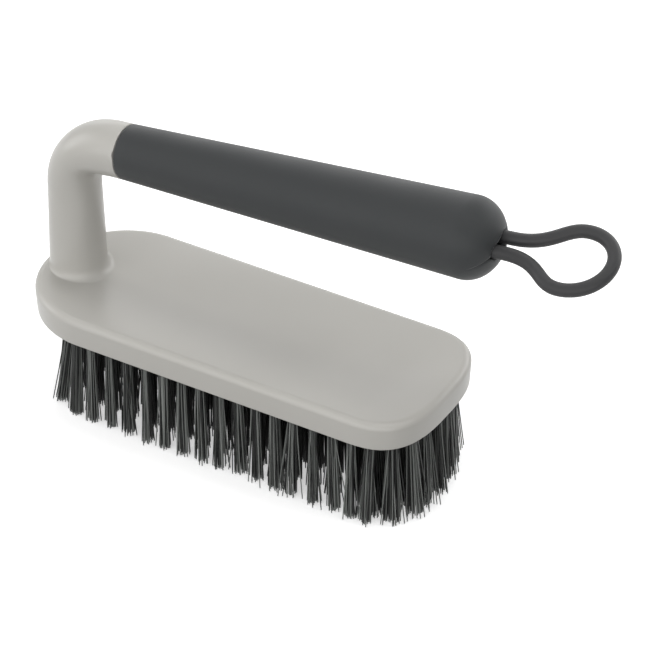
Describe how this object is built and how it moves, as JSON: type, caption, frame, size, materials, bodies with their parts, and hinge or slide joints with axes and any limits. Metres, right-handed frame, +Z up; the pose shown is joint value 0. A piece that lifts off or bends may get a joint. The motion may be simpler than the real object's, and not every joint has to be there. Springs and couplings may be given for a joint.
{
  "type": "hand scrubbing brush with hanging loop",
  "caption": "Hand scrubbing brush: long tufted back, bent neck, soft conical grip held above the back, and a flexible rubber loop at the grip's end.",
  "frame": {"origin": "under the middle of the brush's box, in the plane of the bristle tips it stands on", "axes": "+X along the back from the neck towards the hanging loop, +Y across the back, +Z up from the bristle tips to the grip"},
  "size_m": [0.2194, 0.0612, 0.1232],
  "materials": {
    "back_plastic": "satin light warm grey moulding",
    "neck_plastic": "satin light warm grey moulding",
    "grip_rubber": "soft-touch dark grey",
    "loop_rubber": "matt dark grey elastomer",
    "bristle_fibre": "stiff dark grey filaments"
  },
  "bodies": {
    "brush": {"brush_back": "back_plastic", "tuft_plate": "back_plastic", "bristle_edge_front": "bristle_fibre", "bristle_edge_right": "bristle_fibre", "bristle_edge_back": "bristle_fibre", "bristle_edge_left": "bristle_fibre", "bristle_row_1": "bristle_fibre", "bristle_row_2": "bristle_fibre", "bristle_row_3": "bristle_fibre", "bristle_row_4": "bristle_fibre", "bristle_row_5": "bristle_fibre", "neck": "neck_plastic", "grip_sleeve": "grip_rubber", "loop_anchor": "loop_rubber"},
    "loop": {"hanging_loop": "loop_rubber"}
  },
  "joints": [
    {"name": "loop_flex", "type": "hinge", "parent": "brush", "child": "loop", "pos_m": [0.07065, 0, 0.11042], "axis": [-0.0284, 0.9379, 0.3458], "range_deg": [-60, 60], "stiffness_Nm_per_rad": 0.03}
  ]
}
